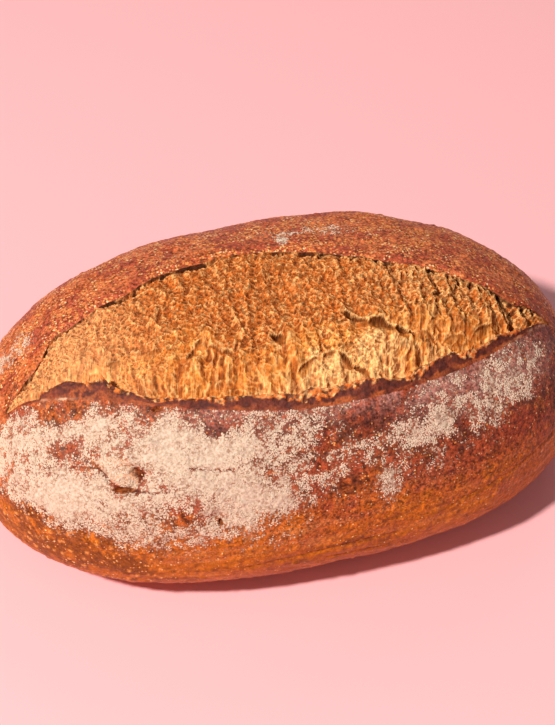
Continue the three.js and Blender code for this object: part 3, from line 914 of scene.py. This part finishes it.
def make_piece(name, surface, normals, tips):
    """One closed piece: a stretch of the surface, with flat inner walls that meet on the loaf's axis."""
    first = surface.pieces.index(name)
    if name == "underside":
        first = surface.pieces.index(name, surface.pieces.index("back_foot"))
    columns = np.arange(first, first + surface.pieces.count(name) + 1) % len(surface.pieces)
    rings = np.flatnonzero(surface.inside) if name in SLASHED else np.arange(len(surface.inside))
    ends, end_normals = tips, np.array([(-1, 0, 0), (1, 0, 0)], float)
    if name in SLASHED:
        outside = [rings[0] - 1, rings[-1] + 1], first
        ends, end_normals = surface.place[outside], normals[outside]
    part = np.ix_(rings, columns)
    tall, wide = len(rings), len(columns)
    axis = surface.plain[rings, 0] * (1, 0, 0) + surface.shift + (0, 0, CORE_HEIGHT)
    vertices = np.concatenate([surface.place[part].reshape(-1, 3), axis, ends])
    ids = np.arange(tall * wide).reshape(tall, wide)
    core = tall * wide + np.arange(tall)
    start, end = tall * wide + tall, tall * wide + tall + 1
    outer = faces_of(ids[:-1, :-1], ids[1:, :-1], ids[1:, 1:], ids[:-1, 1:])
    walls = np.concatenate([
        faces_of(ids[1:, 0], ids[:-1, 0], core[:-1], core[1:]),
        faces_of(ids[:-1, -1], ids[1:, -1], core[1:], core[:-1]),
    ])
    caps = np.concatenate([
        faces_of(start, ids[0, :-1], ids[0, 1:]),
        faces_of(end, ids[-1, 1:], ids[-1, :-1]),
    ])
    corners = np.array([
        (start, core[0], ids[0, 0]),
        (start, ids[0, -1], core[0]),
        (end, ids[-1, 0], core[-1]),
        (end, core[-1], ids[-1, -1]),
    ])
    point_normals = np.concatenate([normals[part].reshape(-1, 3), np.zeros_like(axis), end_normals])
    padding = tall + 2
    tone = surface.tone[part].reshape(-1, 4)
    tone = np.concatenate([tone, np.repeat(tone[:1], padding, axis=0)])
    flour = np.concatenate([surface.flour[part].reshape(-1), np.zeros(padding)])
    spots = np.stack(np.meshgrid(np.linspace(0.02, 1, wide), np.linspace(0.02, 0.98, tall)), -1)
    corner_spots = [(0.5, 0.005), (0.5, 0.995)]
    spots = np.concatenate([spots.reshape(-1, 2), np.full((tall, 2), 0.005), corner_spots])
    faces = (outer, walls, caps, corners)
    return mesh_object(name, vertices, faces, point_normals, tone, flour, spots)


def strew_grains(surface, normals):
    """Loose grains and crumbs of flour as one mesh of squashed lumps, most where the flour thins out."""
    draw = np.random.default_rng(23)
    flour = surface.flour
    area = np.linalg.norm(np.cross(*np.gradient(surface.place, axis=(0, 1))), axis=-1)
    clumped = smoothstep(mixed_grain(surface.place, (1, 3, 97), (0.5, 1.4, 98)), -0.2, 0.5)
    chance = (area * clumped * smoothstep(flour, 0.15, 0.6) * smoothstep(-flour, -1.15, -0.7)).reshape(-1)
    spots = draw.choice(chance.size, GRAINS, replace=False, p=chance / chance.sum())
    up = normals.reshape(-1, 3)[spots]
    side = unit(np.cross(up, draw.normal(size=up.shape)))
    other = np.cross(up, side)
    shift = draw.uniform(-0.4, 0.4, (2, GRAINS, 1))
    middle = surface.place.reshape(-1, 3)[spots] + shift[0] * side + shift[1] * other
    wide, deep, high = GRAIN_HALF[0] + (GRAIN_HALF[1] - GRAIN_HALF[0]) * draw.random((3, GRAINS, 1)) ** 2
    corners = [middle + wide * side, middle + deep * other, middle - wide * side, middle - deep * other]
    vertices = np.stack([*corners, middle + 0.7 * high * up, middle - 0.7 * high * up], 1).reshape(-1, 3)
    sides = [(n, (n + 1) % 4, 4) for n in range(4)] + [((n + 1) % 4, n, 5) for n in range(4)]
    faces = (np.array(sides)[None] + 6 * np.arange(GRAINS)[:, None, None]).reshape(-1, 3)
    mesh = bpy.data.meshes.new("flour_grains")
    mesh.from_pydata((vertices * MM).tolist(), [], faces.tolist())
    return new_object("flour_grains", mesh)


def mesh_object(name, vertices, faces, point_normals, tone, flour, spots):
    """A smooth mesh of outer quads, wall quads, cap triangles and corner triangles, in that order."""
    mesh = bpy.data.meshes.new(name)
    loops = np.concatenate([part.reshape(-1) for part in faces])
    totals = np.concatenate([np.full(len(part), part.shape[1]) for part in faces])
    mesh.vertices.add(len(vertices))
    mesh.vertices.foreach_set("co", (vertices * MM).astype(np.float32).reshape(-1))
    mesh.loops.add(len(loops))
    mesh.loops.foreach_set("vertex_index", loops.astype(np.int32))
    mesh.polygons.add(len(totals))
    mesh.polygons.foreach_set("loop_start", (np.cumsum(totals) - totals).astype(np.int32))
    mesh.update(calc_edges=True)
    mesh.shade_smooth()
    loop_normals = []
    for part, outer in zip(faces, (True, False, True, False)):
        if outer:
            loop_normals.append(point_normals[part.reshape(-1)])
        else:
            first, second, third = (vertices[part[:, n]] for n in range(3))
            flat = unit(np.cross(second - first, third - first))
            loop_normals.append(np.repeat(flat, part.shape[1], axis=0))
    mesh.normals_split_custom_set(np.concatenate(loop_normals).astype(np.float32))
    colour = mesh.attributes.new("tone", "FLOAT_COLOR", "POINT")
    colour.data.foreach_set("color", tone.astype(np.float32).reshape(-1))
    cover = mesh.attributes.new("flour", "FLOAT", "POINT")
    cover.data.foreach_set("value", flour.astype(np.float32))
    bake_map = mesh.uv_layers.new(name="OFBake")
    bake_map.data.foreach_set("uv", spots[loops].astype(np.float32).reshape(-1))
    return new_object(name, mesh)


class Nodes:
    """A short way to write a material's nodes."""

    def __init__(self, name):
        self.material = bpy.data.materials.new(name)
        self.material.use_nodes = True
        self.tree = self.material.node_tree
        self.place = self.add("TexCoord").outputs["Object"]

    def add(self, kind, sockets=(), **settings):
        node = self.tree.nodes.new("ShaderNode" + kind)
        for key, value in settings.items():
            setattr(node, key, value)
        for key, value in dict(sockets).items():
            self.feed(node.inputs[key], value)
        return node

    def feed(self, socket, value):
        if hasattr(value, "is_output"):
            self.tree.links.new(value, socket)
        else:
            socket.default_value = value

    def set(self, **sockets):
        for name, value in sockets.items():
            self.feed(self.tree.nodes["Principled BSDF"].inputs[name.replace("_", " ")], value)

    def attribute(self, name, output):
        return self.add("Attribute", attribute_name=name).outputs[output]

    def noise(self, size, detail, roughness, place=None):
        sockets = {"Vector": place or self.place, "Scale": 1 / (size * MM)}
        return self.add("TexNoise", {**sockets, "Detail": detail, "Roughness": roughness}).outputs["Fac"]

    def stretched(self, across, along):
        """Places that are turned along the strands and squeezed, in units of one millimetre."""
        turn = self.add("Mapping", {"Vector": self.place, "Rotation": (0, 0, math.atan(STRAND_SLANT))})
        squeeze = (1 / across, 1 / along, 1 / along)
        return self.add("Mapping", {"Vector": turn.outputs[0], "Scale": squeeze}).outputs[0]

    def grit(self, size, seed):
        """Grains a given distance apart: how near one's middle is, and that grain's own number."""
        moved = self.add("Mapping", {"Vector": self.place, "Location": (seed, seed, seed)}).outputs[0]
        twist = self.add("TexNoise", {"Vector": moved, "Scale": 1.4 / (size * MM), "Detail": 1.0})
        push = self.scaled(twist.outputs["Color"], 0.7 * size * MM)
        bent = self.add("VectorMath", {0: moved, 1: push}, operation="ADD").outputs[0]
        grains = self.add("TexVoronoi", {"Vector": bent, "Scale": 1 / (size * MM)})
        own = self.add("SeparateColor", {"Color": grains.outputs["Color"]}).outputs["Red"]
        return self.ramp(grains.outputs["Distance"], 0.8, 0.1), own

    def flecks(self, size, share, seed):
        """Irregular flecks a given distance apart: 1 on them and 0 between, in a share of the places."""
        near, own = self.grit(size, seed)
        rest = self.calculate("MINIMUM", self.calculate("SUBTRACT", share, own), 0.1)
        return self.ramp(self.plus(self.times(near, 0.5), rest), 0.32, 0.44)

    def calculate(self, operation, first, second):
        return self.add("Math", {0: first, 1: second}, operation=operation).outputs[0]

    def plus(self, first, second):
        return self.calculate("ADD", first, second)

    def times(self, first, second):
        return self.calculate("MULTIPLY", first, second)

    def ramp(self, value, low, high, to_low=0.0, to_high=1.0):
        sockets = {"Value": value, "From Min": low, "From Max": high, "To Min": to_low, "To Max": to_high}
        return self.add("MapRange", sockets).outputs["Result"]

    def scaled(self, colour, share):
        return self.add("VectorMath", {0: colour, "Scale": share}, operation="SCALE").outputs[0]

    def blend(self, share, first, second):
        """One colour or the other by a share, through the mix node's colour sockets."""
        return self.add("Mix", {0: share, 6: first, 7: second}, data_type="RGBA").outputs[2]

    def bump(self, height, strength, distance):
        sockets = {"Height": height, "Strength": strength, "Distance": distance * MM}
        return self.add("Bump", sockets).outputs["Normal"]


def colour_of(colour):
    return (*linear(colour), 1)


def crust_material():
    """Dry crust with flecks, under grains of flour that run together into a cover where it is thick."""
    nodes = Nodes("crust")
    specks = nodes.attribute("tone", "Alpha")
    amount = nodes.attribute("flour", "Fac")
    mottle, clump, fine = nodes.noise(2, 5, 0.65), nodes.noise(5, 6, 0.7), nodes.noise(1.1, 3, 0.65)
    mottled = nodes.plus(nodes.ramp(mottle, 0.4, 0.6, -0.45, 0.5), nodes.ramp(fine, 0.4, 0.6, -0.4, 0.5))
    height = nodes.add("SeparateXYZ", {"Vector": nodes.place}).outputs["Z"]
    mottled = nodes.times(mottled, nodes.ramp(height, 30 * MM, 62 * MM, 0.25, 1))
    shade = nodes.calculate("MAXIMUM", nodes.plus(mottled, 1), 0.35)
    bare = nodes.scaled(nodes.attribute("tone", "Color"), shade)
    fleck = nodes.times(nodes.flecks(1.35, specks, 0.1), 0.85)
    bare = nodes.blend(fleck, bare, colour_of(SPECKLE_ORANGE))
    pale_fleck = nodes.times(nodes.flecks(1.5, nodes.times(specks, 0.25), 0.3), 0.95)
    bare = nodes.blend(pale_fleck, bare, colour_of(SPECKLE_PALE))
    level = nodes.plus(amount, nodes.ramp(clump, 0.25, 0.75, -0.2, 0.2))
    near, own = nodes.grit(0.9, 0.5)
    grains = nodes.plus(nodes.ramp(near, 0, 1, -0.3, 0.3), nodes.ramp(own, 0, 1, -0.4, 0.4))
    thinned = nodes.plus(level, nodes.ramp(amount, 0, 0.12, -0.4, 0))
    strewn = nodes.ramp(nodes.plus(thinned, grains), 0.5, 0.58)
    film = nodes.ramp(nodes.plus(level, nodes.times(grains, 0.3)), 0.78, 1.1)
    bare = nodes.blend(nodes.ramp(level, 0.05, 0.7, 0, 0.4), bare, colour_of(FLOUR_THIN))
    bare = nodes.blend(nodes.ramp(level, 0.7, 1.1, 0, 0.8), bare, colour_of(FLOUR_HAZE))
    cover = nodes.calculate("MAXIMUM", nodes.times(strewn, 0.92), film)
    dust = nodes.noise(1.3, 4, 0.65)
    lit = nodes.ramp(dust, 0.36, 0.6, nodes.ramp(film, 0, 1, 0.1, 0.4), 1)
    white = nodes.blend(lit, colour_of(FLOUR_SHADE), colour_of(FLOUR_WHITE))
    nodes.set(Base_Color=nodes.blend(cover, bare, white))
    nodes.set(Roughness=nodes.ramp(cover, 0, 1, 0.45, 0.95), Specular_IOR_Level=0.18)
    rough = nodes.plus(nodes.times(cover, 0.6), nodes.plus(dust, mottle))
    nodes.set(Normal=nodes.bump(rough, 0.9, 0.35))
    return nodes.material


def crumb_material():
    """Torn crumb: soft strands where it is pale and rough grains where it is toasted, brighter where the
    bump is high and darker where low, as painted highlight and shade.
    """
    nodes = Nodes("crumb")
    coarse = nodes.attribute("tone", "Alpha")
    strand = nodes.noise(1, 3, 0.6, nodes.stretched(0.9, 6))
    loops = nodes.noise(1, 1, 0.5, nodes.stretched(1.7, 2.6))
    away = nodes.calculate("ABSOLUTE", nodes.plus(loops, -0.5), 0)
    curl = nodes.ramp(away, 0, 0.09, 0.7, 0.42)
    rough = nodes.times(nodes.plus(curl, nodes.noise(1.5, 3, 0.7)), 0.5)
    height = nodes.add("Mix", {"Factor": coarse, "A": strand, "B": rough}).outputs[0]
    # Painted highlight where the bump is high and painted shade where it is low, strongest where the
    # crumb is coarse
    painted_relief_light = nodes.times(nodes.plus(height, -0.5), nodes.ramp(coarse, 0, 1, 2.2, 4.2))
    shaded = nodes.scaled(nodes.attribute("tone", "Color"), nodes.ramp(painted_relief_light, -0.4, 0.4, 0.4, 1.7))
    nodes.set(Base_Color=shaded, Roughness=0.85, Specular_IOR_Level=0.15)
    nodes.set(Normal=nodes.bump(height, 1.0, 0.9))
    return nodes.material


def lip_material():
    """The ear's hard dark skin and its crumbling edge."""
    nodes = Nodes("lip")
    tone = nodes.attribute("tone", "Color")
    fine = nodes.noise(0.9, 4, 0.65)
    nodes.set(Base_Color=nodes.scaled(tone, nodes.ramp(fine, 0.3, 0.7, 0.5, 1.5)), Roughness=0.65)
    nodes.set(Specular_IOR_Level=0.35, Normal=nodes.bump(fine, 0.8, 0.6))
    return nodes.material


def dull_material(name, colour):
    nodes = Nodes(name)
    nodes.set(Base_Color=colour_of(colour), Roughness=0.95, Specular_IOR_Level=0.1)
    return nodes.material


def make_loaf():
    surface = build_surface()
    carve_and_paint(surface)
    surface.shift = centre_surface(surface)
    normals = shade_normals(surface)
    tips = np.array([(-LENGTH / 2, 0, WIDEST_AT), (LENGTH / 2, -LEAN, WIDEST_AT)]) + surface.shift
    crust, crumb, lip = crust_material(), crumb_material(), lip_material()
    for name in PIECES:
        piece = make_piece(name, surface, normals, tips)
        torn = name.endswith("crumb")
        piece.data.materials.append(crumb if torn else lip if name == "ear_lip" else crust)
        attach(piece, "root")
        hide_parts("loaf")
    grains = strew_grains(surface, normals)
    grains.data.materials.append(dull_material("loose_flour", FLOUR_WHITE))
    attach(grains, "root")
    return surface.shift


# The camera, as found from the loaf's outline in the photograph of 555 by 725 pixels
CAMERA_AZIMUTH = -15.545
CAMERA_ELEVATION = 44
CAMERA_DISTANCE = 1000
CAMERA_TARGET = (0, 0, 50)
FOCAL_PIXELS = 2031.1
PHOTO_HEIGHT = 725
SENSOR = 36
OFF_CENTRE = (0.74, 13)  # how far the view's middle lies right of and above the target


def view_axes(azimuth, elevation):
    """The directions back to the camera, to its right and up, for a view of the loaf."""
    a, e = math.radians(azimuth), math.radians(elevation)
    back = np.array([math.sin(a) * math.cos(e), -math.cos(a) * math.cos(e), math.sin(e)])
    right = np.array([math.cos(a), math.sin(a), 0])
    return back, right, np.cross(back, right)


def turn_to(thing, place, back, right, up):
    """Places a camera or lamp, which looks along its own -Z."""
    rows = np.column_stack([right, up, back, place]).tolist()
    thing.matrix_world = Matrix([*rows, (0, 0, 0, 1)])


def make_camera(shift):
    back, right, up = view_axes(CAMERA_AZIMUTH, CAMERA_ELEVATION)
    data = bpy.data.cameras.new("camera")
    data.sensor_fit = "VERTICAL"
    data.sensor_height = SENSOR
    data.lens = FOCAL_PIXELS / PHOTO_HEIGHT * SENSOR
    data.clip_start = 0.05
    data.clip_end = 20
    camera = new_object("camera", data)
    middle = np.array(CAMERA_TARGET) + shift + OFF_CENTRE[0] * right + OFF_CENTRE[1] * up
    turn_to(camera, (middle + CAMERA_DISTANCE * back) * MM, back, right, up)
    bpy.context.scene.camera = camera


# Light comes from the left of the camera and rather high, as the shadow in the photograph shows.
LAMPS = [  # name, azimuth, elevation, distance in metres, size in metres, watts, colour
    ("key", -60, 50, 2.4, 0.17, 71, (1.0, 0.965, 0.92)),
    ("fill", 35, 35, 1.8, 1.2, 1.4, (1.0, 0.93, 0.9)),
    ("back", 150, 45, 1.8, 0.9, 3, (1.0, 0.97, 0.95)),
]
WORLD_COLOUR = (1.0, 0.92, 0.91)
WORLD_STRENGTH = 0.2
FLOOR_HALF = 6  # metres


def make_lights():
    for name, azimuth, elevation, distance, size, watts, colour in LAMPS:
        data = bpy.data.lights.new(name, "AREA")
        data.shape = "DISK"
        data.size = size
        data.energy = watts
        data.color = colour
        back, right, up = view_axes(azimuth, elevation)
        turn_to(new_object(name, data), back * distance, back, right, up)
    world = bpy.data.worlds.new("studio")
    world.use_nodes = True
    glow = world.node_tree.nodes["Background"].inputs
    glow["Color"].default_value = (*WORLD_COLOUR, 1)
    glow["Strength"].default_value = WORLD_STRENGTH
    bpy.context.scene.world = world


def make_floor():
    mesh = bpy.data.meshes.new("floor")
    corners = [(x * FLOOR_HALF, y * FLOOR_HALF, 0) for x, y in ((-1, -1), (1, -1), (1, 1), (-1, 1))]
    mesh.from_pydata(corners, [], [(0, 1, 2, 3)])
    mesh.materials.append(dull_material("floor", FLOOR_PINK))
    new_object("floor", mesh)


shift = make_loaf()
make_camera(shift)
make_lights()
make_floor()
bpy.context.scene.view_settings.view_transform = "Standard"
